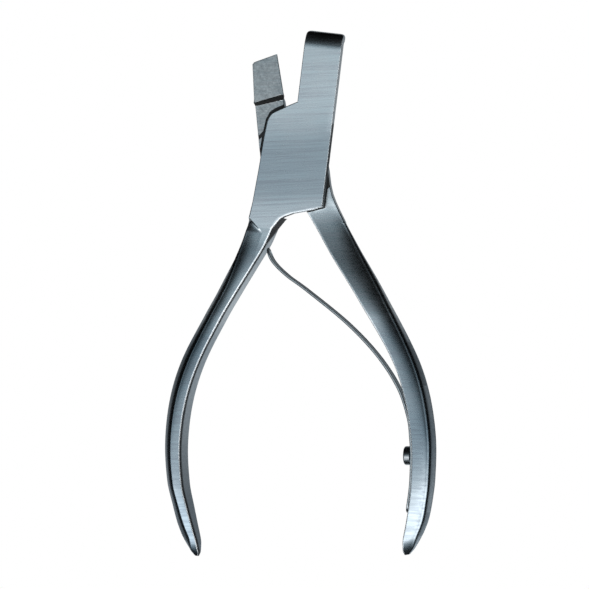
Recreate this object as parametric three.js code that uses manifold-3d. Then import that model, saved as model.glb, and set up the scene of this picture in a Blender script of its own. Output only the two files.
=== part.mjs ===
// Grozing pliers with a lap joint, a flush rivet and one leaf spring.
// The tool lies flat: +Y runs from the handles to the jaws and +Z is the pivot axis.
// The origin is on the pivot axis, in the back face of the joint.
// Each lever is drawn closed, then turned open by half of the opening angle.
import * as THREE from 'three';
import { mergeVertices } from 'three/addons/utils/BufferGeometryUtils.js';
import Module from 'manifold-3d';

const wasm = await Module();
wasm.setup();

// Overall sizes, in millimetres and degrees.
const LONG_JAW = 34.3; // pivot to the long jaw's tip
const SHORT_JAW = 27.9; // pivot to the short jaw's tip
const HANDLE_REACH = 109; // pivot to the handle tips
const OPENING = 16.7; // whole angle between closed and rest
const PLATE = 2.5; // thickness of each lap plate
const LAP_GAP = 0.06; // running gap between the plates

// Plan sizes of the joint and jaws.
const JAW_WIDTH = 10.2;
const THROAT = 15; // pivot to the bottom of the jaw opening
const UNDER_THROAT = 13.3; // the same on the back lever, hidden under the front plate
const OVERHANG = 0.95; // how far the short jaw's front edge leans over the closing line
const UNDERCUT = 1.35; // how far its closing wall slopes back underneath
const STEP_Y = 15.8; // pivot to the foot of the short jaw's step
const STEP_TOP = 16.95; // and to its top, at the closing side
const STEP_SLANT = 0.1; // how much lower the step's top runs for each millimetre outwards
const HEEL = 11.9; // pivot to the plate's lower corner
const NECK = 19.4; // pivot to where a handle leaves its plate
const TIP_ROLL = 2.6; // how deep the long jaw's tip rolls over
const TIP_ROLL_LONG = 4.4; // and over what length
const TIP_LIP = 0.8; // how far the rolled tip reaches behind the plate
const TIP_CORNER = 1; // radius of the long jaw's tip in plan
const EDGE = 0.3; // chamfer along every long edge

// Joint.
const RIVET_R = 2.5;
const RIVET_HEAD_R = 4;
const RIVET_CLEARANCE = 0.05;
const SEAT_CLEARANCE = 0.3; // round pieces that stay fixed in a lever
const BOSS_R = 11.2; // round bearing boss under the front plate
const BOSS_RISE = 0.4;
const SWING_CLEARANCE = 0.7;

// Spring and its screw.
const SPRING_T = 0.6;
const SPRING_ROOT_W = 4;
const SPRING_TIP_W = 3.4;
const SPRING_GAP = 0.3;
const SPRING_END = 0.88; // its lower end, as a share of the handle
const SPRING_LEAVES = 0.6; // where it leaves the back handle's wall
const SPRING_TOUCHES = 0.056; // where its tip meets the front handle's wall
const SCREW_AT = 0.715;
const SCREW_HEAD_R = 2.5;
const SCREW_HEAD_H = 1.65;
const SCREW_SHANK_R = 1.2;
const SCREW_SHANK_L = 2.6; // depth of the shank in the handle
const SCREW_SLOT = 0.6; // width and depth of the driver slot

const LAP = PLATE; // height of the lap plane
const FACE = 2 * PLATE; // height of the front face
const HALF_OPEN = THREE.MathUtils.degToRad(OPENING / 2);
const SWING_R = Math.hypot(JAW_WIDTH, HEEL) + SWING_CLEARANCE;
const HANDLE = HANDLE_REACH - NECK; // length of a handle along Y

// The handles at shares of their length from the neck to the tip: inner wall from the centre line,
// width, depth in front of and behind the lap plane, and how far the faces fall to the outer side.
const handleRow = ([at, inner, width, front, back, drop]) => ({ at, inner, width, front, back, drop });
const FRONT_HANDLE = [
  [0.0, 2.7, 7.1, 2.5, 5.0, 1.5],
  [0.05, 4.1, 6.8, 2.6, 4.8, 1.8],
  [0.12, 6.9, 6.15, 2.8, 4.4, 1.9],
  [0.21, 10.65, 5.3, 3.0, 4.5, 1.9],
  [0.28, 13.4, 5.0, 3.3, 4.4, 1.8],
  [0.42, 18.0, 4.85, 3.7, 4.0, 1.4],
  [0.54, 20.2, 4.65, 4.1, 4.3, 1.5],
  [0.67, 20.35, 4.45, 4.4, 4.5, 1.4],
  [0.79, 18.5, 4.35, 4.4, 4.4, 1.3],
  [0.86, 16.3, 4.2, 4.0, 4.0, 1.3],
  [0.91, 14.6, 4.05, 3.4, 3.5, 1.2],
  [0.955, 13.05, 3.4, 2.8, 2.9, 0.9],
  [0.977, 12.6, 2.75, 2.0, 2.1, 0.6],
  [0.99, 12.4, 2.1, 1.25, 1.4, 0.4],
  [1.0, 12.6, 0.9, 0.5, 0.6, 0.2],
].map(handleRow);
const BACK_HANDLE = [
  [0.0, 3.2, 8.0, 3.6, 3.0, 1.2],
  [0.085, 6.1, 7.7, 3.3, 3.1, 1.6],
  [0.23, 11.8, 6.7, 3.2, 3.6, 1.9],
  [0.42, 18.35, 5.45, 3.7, 4.0, 1.6],
  [0.54, 20.25, 5.25, 4.1, 4.3, 1.5],
  [0.67, 20.2, 5.1, 4.4, 4.4, 1.4],
  [0.79, 18.35, 5.0, 4.4, 4.4, 1.3],
  [0.86, 16.55, 4.9, 4.0, 4.0, 1.3],
  [0.91, 14.9, 4.75, 3.4, 3.5, 1.3],
  [0.955, 13.3, 3.9, 2.8, 2.9, 1.0],
  [0.977, 12.75, 3.3, 2.0, 2.1, 0.7],
  [0.99, 12.5, 2.6, 1.25, 1.4, 0.5],
  [1.0, 12.7, 1.3, 0.5, 0.6, 0.25],
].map(handleRow);
// A handle's outer side: how far in its face ends, how far in and how far down its corner lies,
// and how far it bulges out halfway down.
const FRONT_OUTER = [1.68, 0.68, 0.8, 0.9];
const BACK_OUTER = [0.25, -0.2, 0.6, 0.9];
// Where the back handle's lap side starts to rise from the lap plane, and where it is full.
const RAMP_TOP = -14;
const RAMP_FOOT = -46;
// Length over which the back handle's back face leaves the plate's.
const BACK_BLEND = 5;

// A smooth curve through the rows' values, by cubic Hermite pieces.
function smooth(rows, key, t) {
  const last = rows.length - 1;
  let i = 0;
  while (i < last - 1 && t > rows[i + 1].at) {
    i += 1;
  }
  const slope = (k) => {
    const a = rows[Math.max(k - 1, 0)];
    const b = rows[Math.min(k + 1, last)];
    return (b[key] - a[key]) / (b.at - a.at);
  };
  const span = rows[i + 1].at - rows[i].at;
  const u = THREE.MathUtils.clamp((t - rows[i].at) / span, 0, 1);
  const v = 1 - u;
  return (1 + 2 * u) * v * v * rows[i][key] + u * v * v * span * slope(i)
    + u * u * (3 - 2 * u) * rows[i + 1][key] - u * u * v * span * slope(i + 1);
}

// A value along a line of [y, x] points, straight between them.
function along(line, y) {
  let i = 0;
  while (i < line.length - 2 && y < line[i + 1][0]) {
    i += 1;
  }
  const [[y0, x0], [y1, x1]] = [line[i], line[i + 1]];
  return x0 + ((x1 - x0) * THREE.MathUtils.clamp(y - y0, y1 - y0, 0)) / (y1 - y0);
}

// Plan lines from the jaws down to the neck, closed: [y, x] from the top.
const outerNeck = (rows) => [-NECK, -rows[0].inner - rows[0].width];
const FRONT_LEFT = [
  [LONG_JAW, 0], [THROAT, 0], [THROAT - 1.3, -2.45], [THROAT - 2.4, -4.25], [THROAT - 3.4, -6],
  [THROAT - 4.1, -6.85], [THROAT - 5.8, -7.55], [4.9, -7.95], [-4.3, -8.4],
  [-HEEL - 1.1, -8.95], outerNeck(FRONT_HANDLE),
];
const FRONT_RIGHT = [
  [LONG_JAW, JAW_WIDTH], [-HEEL, JAW_WIDTH], [-HEEL - 1.5, 6.6], [-HEEL - 2.8, 2.3],
  [-HEEL - 3.9, 0.1], [-HEEL - 4.7, -0.9], [-NECK, -FRONT_HANDLE[0].inner],
];

// The back lever is drawn mirrored, with its handle on the left as well. Its heel and throat stay
// under the front plate.
const UNDER_HEEL = HEEL - 1.3;
const BACK_LEFT = [
  [SHORT_JAW, 0], [UNDER_THROAT, 0], [UNDER_THROAT - 0.4, -2.4], [UNDER_THROAT - 1.1, -4.25],
  [UNDER_THROAT - 2, -6], [UNDER_THROAT - 2.7, -6.85], [UNDER_THROAT - 4.1, -7.6], [4.9, -8.2],
  [-4.3, -8.95], [-8.6, -8.75], [-11.2, -8.9], [-13.4, -9.35], [-15.7, -10], outerNeck(BACK_HANDLE),
];
const BACK_RIGHT = [
  [SHORT_JAW, 0.1 - OVERHANG], [SHORT_JAW - 1, 5.6], [SHORT_JAW - 1.5, 6.2], [STEP_TOP, 7.35],
  [STEP_Y - 0.4, 7.9], [6.8, 8.5], [-UNDER_HEEL, 9.6], [-UNDER_HEEL - 1.4, 5],
  [-UNDER_HEEL - 2.4, 1.5], [-UNDER_HEEL - 3.5, -0.7], [-UNDER_HEEL - 4.4, -1.45],
  [-NECK, -BACK_HANDLE[0].inner],
];

// One ring across a lever at height y: its corners go round counter-clockwise seen from +Y.
// Lean moves the back edge of the left wall inwards; outer shapes a handle's outer side.
const FACE_POINTS = 6;
function ring(left, right, frontAt, backAt, y, lean = 0, outer = [0, 0, 0, 0]) {
  const [inset, corner, deep, bulge] = outer;
  const points = [];
  const bevel = Math.min(EDGE, (right - left - inset) / 3);
  const edge = left + inset + bevel;
  for (let i = 0; i <= FACE_POINTS; i += 1) {
    const x = edge + ((right - bevel - edge) * i) / FACE_POINTS;
    points.push([x, y, frontAt(x)]);
  }
  points.push([right, y, frontAt(right) - bevel], [right, y, backAt(right) + bevel]);
  for (let i = FACE_POINTS; i >= 0; i -= 1) {
    const x = edge + ((right - bevel - edge) * i) / FACE_POINTS;
    points.push([x + (lean * (right - x)) / (right - left), y, backAt(x)]);
  }
  const high = frontAt(edge) - bevel - deep;
  const low = backAt(edge) + bevel + deep;
  points.push([left + corner + lean, y, low]);
  points.push([left - bulge + lean / 2, y, (low + high) / 2]);
  points.push([left + corner, y, high]);
  return points;
}

// A closed body through rings that have the same number of points.
function loft(rings) {
  const n = rings[0].length;
  const positions = rings.flat(2);
  const index = [];
  for (let r = 0; r < rings.length - 1; r += 1) {
    for (let i = 0; i < n; i += 1) {
      const a = r * n + i;
      const b = r * n + ((i + 1) % n);
      index.push(a, a + n, b, b, a + n, b + n);
    }
  }
  for (const [r, flip] of [[0, true], [rings.length - 1, false]]) {
    const cap = rings[r];
    const centre = positions.length / 3;
    positions.push(...[0, 1, 2].map((k) => cap.reduce((sum, p) => sum + p[k], 0) / n));
    for (let i = 0; i < n; i += 1) {
      const a = r * n + i;
      const b = r * n + ((i + 1) % n);
      index.push(centre, flip ? a : b, flip ? b : a);
    }
  }
  const geometry = new THREE.BufferGeometry();
  geometry.setAttribute('position', new THREE.Float32BufferAttribute(positions, 3));
  geometry.setIndex(index);
  return geometry;
}

// three.js geometry to a manifold solid, and back.
function solid(geometry) {
  const bare = geometry.clone();
  bare.deleteAttribute('normal');
  bare.deleteAttribute('uv');
  const merged = mergeVertices(bare, 1e-5);
  const corners = merged.index.array;
  const kept = [];
  for (let i = 0; i < corners.length; i += 3) {
    const [a, b, c] = corners.slice(i, i + 3);
    if (a !== b && b !== c && c !== a) {
      kept.push(a, b, c);
    }
  }
  return new wasm.Manifold(new wasm.Mesh({
    numProp: 3,
    vertProperties: new Float32Array(merged.attributes.position.array),
    triVerts: new Uint32Array(kept),
  }));
}
function geometryOf(body) {
  const mesh = body.getMesh();
  const geometry = new THREE.BufferGeometry();
  geometry.setAttribute('position', new THREE.BufferAttribute(mesh.vertProperties, 3));
  geometry.setIndex(new THREE.BufferAttribute(mesh.triVerts, 1));
  return geometry;
}

// A round body about Z from [radius, z] points, listed upwards.
const ROUND = 48;
function turned(points, segments = ROUND) {
  const profile = points.map(([r, z]) => new THREE.Vector2(r, z));
  return new THREE.LatheGeometry(profile, segments).rotateX(Math.PI / 2);
}
function disc(radius, low, high) {
  return turned([[0, low], [radius, low], [radius, high], [0, high]]);
}

// Heights that the stations of a loft need: the lines' own corners and even steps between.
function stations(lines, extra, top, step) {
  const wanted = new Set([...lines.flat().map(([y]) => y), ...extra]);
  for (let y = top; y > -NECK; y -= step) {
    wanted.add(y);
  }
  const sorted = [...wanted].filter((y) => y <= top && y >= -NECK).sort((a, b) => b - a);
  return sorted.filter((y, i) => i === 0 || sorted[i - 1] - y > 0.05);
}

const HANDLE_STATIONS = 36;
const PLATE_STEP = 4;
const FALL_POWER = 2.5;
const FALL_START = 0.06; // share of a handle over which its faces start to fall
// A handle's fall at x: none at the inner side, all of it at the outer.
function fall(rows, t, x, left, right) {
  const u = THREE.MathUtils.clamp((right - x) / (right - left), 0, 1);
  return smooth(rows, 'drop', t) * Math.min(1, t / FALL_START) * u ** FALL_POWER;
}

// The handle's rings, from the neck to the tip. Depths are taken from the lap plane.
function handleRings(rows, outer, frontDepth, backDepth) {
  const rings = [];
  for (let i = 1; i <= HANDLE_STATIONS; i += 1) {
    const u = i / HANDLE_STATIONS;
    const t = u * (1.25 - 0.25 * u);
    const inner = smooth(rows, 'inner', t);
    const [left, right] = [-inner - smooth(rows, 'width', t), -inner];
    const held = THREE.MathUtils.smoothstep(t, 0.02, 0.2) * (1 - THREE.MathUtils.smoothstep(t, 0.94, 1));
    rings.push(ring(
      left, right,
      (x) => LAP + frontDepth(t) - fall(rows, t, x, left, right),
      (x) => LAP - backDepth(t) + fall(rows, t, x, left, right),
      -NECK - HANDLE * t,
      0,
      outer.map((value) => value * held),
    ));
  }
  return rings;
}
function rampDepth(t) {
  const y = -NECK - HANDLE * t;
  const full = smooth(BACK_HANDLE, 'front', Math.max(t, 0)) + LAP_GAP / 2;
  return full * THREE.MathUtils.smoothstep(-y, -RAMP_TOP, -RAMP_FOOT) - LAP_GAP / 2;
}
function backDepth(t) {
  const blend = THREE.MathUtils.smoothstep(HANDLE * t, 0, BACK_BLEND);
  return THREE.MathUtils.lerp(PLATE, smooth(BACK_HANDLE, 'back', t), blend);
}

// How far a quarter round falls away at a distance past its start, over its length.
function rounding(deep, past, long = deep) {
  const reach = THREE.MathUtils.clamp(past / long, 0, 1);
  return deep * (1 - Math.sqrt(1 - reach ** 2));
}

// The front lever: long jaw, lap plate over the joint, and left handle.
function frontLever() {
  const rollFrom = LONG_JAW - TIP_ROLL_LONG;
  const rollSteps = [0, 0.15, 0.3, 0.45, 0.6, 0.75, 0.87, 0.96, 1];
  const lipFrom = LONG_JAW - TIP_ROLL;
  const extra = [...rollSteps.map((s) => rollFrom + TIP_ROLL_LONG * s), lipFrom, lipFrom + TIP_LIP];
  const shoulder = FRONT_HANDLE[0].back;
  const rings = stations([FRONT_LEFT, FRONT_RIGHT], [...extra, -HEEL - 0.01], LONG_JAW, PLATE_STEP)
    .map((y) => {
      const front = FACE - rounding(TIP_ROLL, y - rollFrom, TIP_ROLL_LONG);
      const lip = TIP_LIP * THREE.MathUtils.smoothstep(y, lipFrom, lipFrom + TIP_LIP);
      const depth = y < -HEEL ? shoulder : -LAP_GAP / 2;
      const corner = rounding(TIP_CORNER, y - (LONG_JAW - TIP_CORNER));
      const left = along(FRONT_LEFT, y) + corner;
      const right = along(FRONT_RIGHT, y) - corner;
      return ring(left, right, () => front, () => LAP - depth - lip, y);
    });
  const depthAt = (key) => (t) => smooth(FRONT_HANDLE, key, t);
  const handle = handleRings(FRONT_HANDLE, FRONT_OUTER, depthAt('front'), depthAt('back'));
  const plate = solid(loft([...rings, ...handle])).subtract(solid(disc(SWING_R, -FACE, LAP + LAP_GAP / 2)));
  const boss = plate.translate([0, 0, -PLATE / 2])
    .intersect(solid(disc(BOSS_R, LAP - BOSS_RISE, LAP + LAP_GAP)));
  return plate.add(boss).subtract(solid(rivetBody(RIVET_CLEARANCE)));
}

// The back lever: short jaw block, under plate with the boss's seat, and right handle.
function backLever() {
  const extra = [0, 0.2, 0.4, 0.6, 0.8, 1].map((s) => THREE.MathUtils.lerp(STEP_Y - 0.6, STEP_TOP, s));
  const rings = stations([BACK_LEFT, BACK_RIGHT], extra, SHORT_JAW, PLATE_STEP).map((y) => {
    const floor = LAP + rampDepth((-NECK - y) / HANDLE);
    const front = (x) => {
      const top = STEP_TOP - STEP_SLANT * Math.max(x, 0);
      const rise = THREE.MathUtils.clamp((y - STEP_Y + (STEP_TOP - top) / 2) / (top - STEP_Y), 0, 1);
      return floor + (FACE - floor) * rise;
    };
    const above = THREE.MathUtils.smoothstep(y, STEP_Y - 0.4, STEP_TOP);
    const left = along(BACK_LEFT, y) - OVERHANG * above;
    const right = along(BACK_RIGHT, y);
    return ring(left, right, front, () => 0, y, Math.min(UNDERCUT * above, 0.6 * (right - left)));
  });
  const swing = disc(SWING_R, LAP - LAP_GAP / 2, 2 * FACE);
  const jawSide = disc(STEP_Y, LAP - LAP_GAP / 2, 2 * FACE);
  return solid(loft([...rings, ...handleRings(BACK_HANDLE, BACK_OUTER, rampDepth, backDepth)]))
    .subtract(solid(swing).intersect(solid(below(0))))
    .subtract(solid(jawSide))
    .subtract(solid(disc(BOSS_R + SEAT_CLEARANCE, LAP - BOSS_RISE - LAP_GAP, LAP)))
    .subtract(solid(rivetBody(RIVET_CLEARANCE)))
    .scale([-1, 1, 1])
    .subtract(solid(screwBody(SEAT_CLEARANCE).applyMatrix4(screwPlace())));
}

// Everything below height y in plan.
function below(y) {
  const size = 2 * HANDLE_REACH;
  return new THREE.BoxGeometry(size, size, size).translate(0, y - size / 2, 0);
}

// The rivet, with a countersunk head at each face. Extra makes the hole that clears it.
function rivetBody(extra = 0) {
  const over = extra > 0 ? 1 : 0;
  const cone = RIVET_HEAD_R - RIVET_R;
  return turned([
    [0, -over], [RIVET_HEAD_R + extra, -over], [RIVET_HEAD_R + extra, 0],
    [RIVET_R + extra, cone], [RIVET_R + extra, FACE - cone],
    [RIVET_HEAD_R + extra, FACE], [RIVET_HEAD_R + extra, FACE + over], [0, FACE + over],
  ]);
}

// A point on a handle's inner wall, with the wall's direction towards the tip and the normal
// that points at the other handle. Side is 1 for the back lever and -1 for the front lever.
function wall(t, side) {
  const rows = side > 0 ? BACK_HANDLE : FRONT_HANDLE;
  const point = (u) => new THREE.Vector2(side * smooth(rows, 'inner', u), -NECK - HANDLE * u);
  const nudge = 0.01;
  const direction = point(t + nudge).sub(point(t - nudge)).normalize();
  const normal = new THREE.Vector2(direction.y, -direction.x).multiplyScalar(side);
  return { point: point(t), normal };
}
function offWall(t, side, distance) {
  const { point, normal } = wall(t, side);
  return point.addScaledVector(normal, distance);
}

// The leaf spring's middle line, in the back lever's own closed frame.
// Between the two walls it bows: shares of the way across, and the distance to the side.
const BOW = [[0.13, -3], [0.3, -4.25], [0.5, -3.55], [0.73, -0.95], [0.85, 0.75], [0.94, 1.15]];
const SPRING_OFF = SPRING_GAP + SPRING_T / 2;
function springLine() {
  const origin = new THREE.Vector2();
  const seats = [SPRING_END, 0.8, SCREW_AT, 0.66, SPRING_LEAVES];
  const points = seats.map((t) => offWall(t, 1, SPRING_OFF));
  const from = points[points.length - 1];
  const touch = offWall(SPRING_TOUCHES, -1, SPRING_OFF);
  const to = touch.rotateAround(origin, -2 * HALF_OPEN);
  const across = to.clone().sub(from);
  const side = new THREE.Vector2(-across.y, across.x).normalize();
  for (const [share, distance] of BOW) {
    points.push(from.clone().addScaledVector(across, share).addScaledVector(side, distance));
  }
  points.push(to);
  return new THREE.SplineCurve(points);
}

const SPRING_STEPS = 44;
function leafSpring() {
  const line = springLine();
  const rings = [];
  for (let i = 0; i <= SPRING_STEPS; i += 1) {
    const u = i / SPRING_STEPS;
    const p = line.getPointAt(u);
    const d = line.getTangentAt(u);
    const half = THREE.MathUtils.lerp(SPRING_ROOT_W, SPRING_TIP_W, u) / 2;
    const [nx, ny] = [(-d.y * SPRING_T) / 2, (d.x * SPRING_T) / 2];
    rings.push([
      [p.x - nx, p.y - ny, LAP + half], [p.x + nx, p.y + ny, LAP + half],
      [p.x + nx, p.y + ny, LAP - half], [p.x - nx, p.y - ny, LAP - half],
    ]);
  }
  return solid(loft(rings)).subtract(solid(screwBody(SEAT_CLEARANCE).applyMatrix4(screwPlace())));
}

// The screw along +Z, with the handle's wall at height 0. Extra makes the hole for its shank.
function screwBody(extra = 0) {
  const seat = SPRING_GAP + SPRING_T + SEAT_CLEARANCE;
  if (extra > 0) {
    return disc(SCREW_SHANK_R + extra, -SCREW_SHANK_L - extra, seat);
  }
  const crown = 0.5 * SCREW_HEAD_H;
  const top = seat + SCREW_HEAD_H;
  return turned([
    [0, -SCREW_SHANK_L], [SCREW_SHANK_R, -SCREW_SHANK_L], [SCREW_SHANK_R, seat],
    [SCREW_HEAD_R, seat], [SCREW_HEAD_R, top - crown], [0.85 * SCREW_HEAD_R, top - 0.4 * crown],
    [0.55 * SCREW_HEAD_R, top - 0.1 * crown], [0, top],
  ], 32);
}
function springScrew() {
  const top = SPRING_GAP + SPRING_T + SEAT_CLEARANCE + SCREW_HEAD_H;
  const slot = new THREE.BoxGeometry(SCREW_SLOT, 3 * SCREW_HEAD_R, 2 * SCREW_SLOT).translate(0, 0, top);
  return solid(screwBody()).subtract(solid(slot));
}

// Puts the screw on the back handle's inner wall, in the lever's closed frame.
function screwPlace() {
  const { point, normal } = wall(SCREW_AT, 1);
  const axis = new THREE.Vector3(normal.x, normal.y, 0);
  const turn = new THREE.Quaternion().setFromUnitVectors(new THREE.Vector3(0, 0, 1), axis);
  const place = new THREE.Vector3(point.x, point.y, LAP);
  return new THREE.Matrix4().compose(place, turn, new THREE.Vector3(1, 1, 1));
}

function steel(color, roughness) {
  return new THREE.MeshStandardMaterial({ color, roughness, metalness: 1 });
}
function piece(name, geometry, material) {
  const mesh = new THREE.Mesh(geometry, material);
  mesh.name = name;
  return mesh;
}

const front = new THREE.Group();
front.rotation.z = -HALF_OPEN;
front.add(piece('front_lever', geometryOf(frontLever()), steel(0x9fb0b8, 0.35)));

const back = new THREE.Group();
back.rotation.z = HALF_OPEN;
back.add(piece('back_lever', geometryOf(backLever()), steel(0x93a3ab, 0.35)));
back.add(piece('pivot_rivet', geometryOf(solid(rivetBody())), steel(0xa4b2b8, 0.35)));
back.add(piece('leaf_spring', geometryOf(leafSpring()), steel(0x7f8d90, 0.3)));
const screw = piece('spring_screw', geometryOf(springScrew()), steel(0x6c7578, 0.35));
screw.applyMatrix4(screwPlace());
back.add(screw);

const pliers = new THREE.Group();
pliers.add(front, back);
export default pliers;
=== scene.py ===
"""Grozing pliers in brushed stainless steel: the looks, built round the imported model.

The tool lies flat, with +Y towards the jaws and +Z along the pivot. Each lever is drawn closed,
as sections across it from the jaw to the handle's tip, and is then turned open.
"""
import math

import bmesh
import bpy
from mathutils import Matrix, Vector


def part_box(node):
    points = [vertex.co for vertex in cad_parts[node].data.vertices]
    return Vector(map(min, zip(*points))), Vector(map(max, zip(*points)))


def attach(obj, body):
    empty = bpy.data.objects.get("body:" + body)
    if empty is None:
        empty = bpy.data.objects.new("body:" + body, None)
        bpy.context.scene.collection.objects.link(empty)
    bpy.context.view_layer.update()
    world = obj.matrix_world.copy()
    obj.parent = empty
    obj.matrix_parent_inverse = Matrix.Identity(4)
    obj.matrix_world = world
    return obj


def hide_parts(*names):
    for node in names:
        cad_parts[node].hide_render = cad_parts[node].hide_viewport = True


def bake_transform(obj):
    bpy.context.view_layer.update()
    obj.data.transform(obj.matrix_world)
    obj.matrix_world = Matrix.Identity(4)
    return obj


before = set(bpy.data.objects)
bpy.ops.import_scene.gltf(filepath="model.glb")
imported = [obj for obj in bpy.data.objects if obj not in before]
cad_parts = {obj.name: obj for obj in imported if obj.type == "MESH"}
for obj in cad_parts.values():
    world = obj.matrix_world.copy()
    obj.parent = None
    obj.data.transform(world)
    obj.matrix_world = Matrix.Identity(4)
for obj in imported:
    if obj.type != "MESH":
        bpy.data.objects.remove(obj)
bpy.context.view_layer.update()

MM = 0.001

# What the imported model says, in millimetres.
rivet_low, rivet_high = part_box("pivot_rivet")
FACE = rivet_high.z / MM          # front face of the joint
LAP = FACE / 2                    # plane where the two plates meet
RIVET_HEAD = (rivet_high.x - rivet_low.x) / 2 / MM
RIVET_SHANK = 2.5
HALF_OPEN = math.radians(8.35)
LAP_GAP = 0.06

# Plan of the jaws and the joint, in millimetres from the pivot.
LONG_JAW = 34.3
SHORT_JAW = 27.9
JAW_WIDTH = 10.2
THROAT = 15.0
UNDER_THROAT = 13.3     # the back lever's throat, hidden by the front plate
OVERHANG = 0.95         # how far the short jaw's front edge leans over the closing line
UNDERCUT = 1.35         # how far its closing wall slopes back underneath
STEP_Y = 15.8
STEP_TOP = 16.95
HEEL = 11.9
NECK = 19.4
REACH = 109.0
HANDLE = REACH - NECK
TIP_ROLL = 2.6          # how deep the long jaw's tip rolls over
TIP_ROLL_LONG = 4.4     # and over what length
TIP_LIP = 0.8
TIP_CORNER = 1.0
SWING = math.hypot(JAW_WIDTH, HEEL) + 0.7
SEAT_MARGIN = 1.15      # the milled seat's edge, outside the front plate
SEAT_DEPTH = 0.4

# A handle at shares of its length: inner wall from the middle, width, depth in front of and
# behind the lap plane, and how far its faces fall towards the outer side.
FRONT_HANDLE = [
    (0.0, 2.7, 7.1, 2.5, 5.0, 1.5),
    (0.05, 4.1, 6.8, 2.6, 4.8, 1.8),
    (0.12, 6.9, 6.15, 2.8, 4.4, 1.9),
    (0.21, 10.65, 5.3, 3.0, 4.5, 1.9),
    (0.28, 13.4, 5.0, 3.3, 4.4, 1.8),
    (0.42, 18.0, 4.85, 3.7, 4.0, 1.4),
    (0.54, 20.2, 4.65, 4.1, 4.3, 1.5),
    (0.67, 20.35, 4.45, 4.4, 4.5, 1.4),
    (0.79, 18.5, 4.35, 4.4, 4.4, 1.3),
    (0.86, 16.3, 4.2, 4.0, 4.0, 1.3),
    (0.91, 14.6, 4.05, 3.4, 3.5, 1.2),
    (0.955, 13.05, 3.4, 2.8, 2.9, 0.9),
    (0.977, 12.6, 2.75, 2.0, 2.1, 0.6),
    (0.99, 12.4, 2.1, 1.25, 1.4, 0.4),
    (1.0, 12.6, 0.9, 0.5, 0.6, 0.2),
]
BACK_HANDLE = [
    (0.0, 3.2, 8.0, 3.6, 3.0, 1.2),
    (0.085, 6.1, 7.7, 3.3, 3.1, 1.6),
    (0.23, 11.8, 6.7, 3.2, 3.6, 1.9),
    (0.42, 18.35, 5.45, 3.7, 4.0, 1.6),
    (0.54, 20.25, 5.25, 4.1, 4.3, 1.5),
    (0.67, 20.2, 5.1, 4.4, 4.4, 1.4),
    (0.79, 18.35, 5.0, 4.4, 4.4, 1.3),
    (0.86, 16.55, 4.9, 4.0, 4.0, 1.3),
    (0.91, 14.9, 4.75, 3.4, 3.5, 1.3),
    (0.955, 13.3, 3.9, 2.8, 2.9, 1.0),
    (0.977, 12.75, 3.3, 2.0, 2.1, 0.7),
    (0.99, 12.5, 2.6, 1.25, 1.4, 0.5),
    (1.0, 12.7, 1.3, 0.5, 0.6, 0.25),
]
INNER, WIDTH, FRONT, BACK, DROP = 1, 2, 3, 4, 5

# A handle's outer side: how far in its face ends, how far in and how far down its corner lies,
# and how far it bulges out halfway down.
FRONT_OUTER = (1.68, 0.68, 0.8, 0.9)
BACK_OUTER = (0.25, -0.2, 0.6, 0.9)
OUTER_FROM, OUTER_FULL = 0.02, 0.2      # shares of the handle over which that side takes shape
OUTER_GOES = 0.94                       # and from where it goes again, up to the tip
BULGE_FROM, BULGE_FULL = 0.15, 0.5      # the bulge grows from its first share of itself to all
BULGE_FIRST = 0.45

FACE_CUTS = 20      # stretches across a face
ARC_CUTS = 4        # stretches round an edge
WALL_CUTS = 8       # stretches down an inner wall
HANDLE_CUTS = 190   # sections down a handle
ROUND_CUTS = 96     # stretches round a turned piece
FINE_STEP = 0.2     # between sections where an outline turns
PLAIN_STEP = 1.2    # and elsewhere
PLATE_EDGE = 0.22   # radius of the plates' ground edges
RIDGE = 0.45        # radius of a handle's inner edges
CREASE = 0.6        # radius of a handle's outer edges


def smooth(rows, column, t):
    """A smooth value of a handle's shape at share t."""
    last = len(rows) - 1
    i = 0
    while i < last - 1 and t > rows[i + 1][0]:
        i += 1

    def slope(k):
        a, b = rows[max(k - 1, 0)], rows[min(k + 1, last)]
        return (b[column] - a[column]) / (b[0] - a[0])

    span = rows[i + 1][0] - rows[i][0]
    u = min(max((t - rows[i][0]) / span, 0.0), 1.0)
    v = 1 - u
    return ((1 + 2 * u) * v * v * rows[i][column] + u * v * v * span * slope(i)
            + u * u * (3 - 2 * u) * rows[i + 1][column] - u * u * v * span * slope(i + 1))


def step(value, low, high):
    """Smooth rise from 0 at low to 1 at high."""
    u = min(max((value - low) / (high - low), 0.0), 1.0)
    return u * u * (3 - 2 * u)


def rounding(deep, past, long=None):
    """How far a quarter round falls away at a distance past its start; stretched if long is given."""
    reach = min(max(past / (long or deep), 0.0), 1.0)
    return deep * (1 - math.sqrt(1 - reach ** 2))


def line(points, y):
    """A value along [y, x] points from the top down, straight between them."""
    i = 0
    while i < len(points) - 2 and y < points[i + 1][0]:
        i += 1
    (y0, x0), (y1, x1) = points[i], points[i + 1]
    u = min(max((y - y0) / (y1 - y0), 0.0), 1.0)
    return x0 + (x1 - x0) * u


def eased(points, y, reach=0.35):
    """The same line with its corners softened over a short reach."""
    return sum(line(points, y + reach * k) for k in (-1, -0.5, 0, 0.5, 1)) / 5


def share(y):
    """How far down a handle y lies: 0 at the neck, 1 at the tip."""
    return (-NECK - y) / HANDLE


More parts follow.
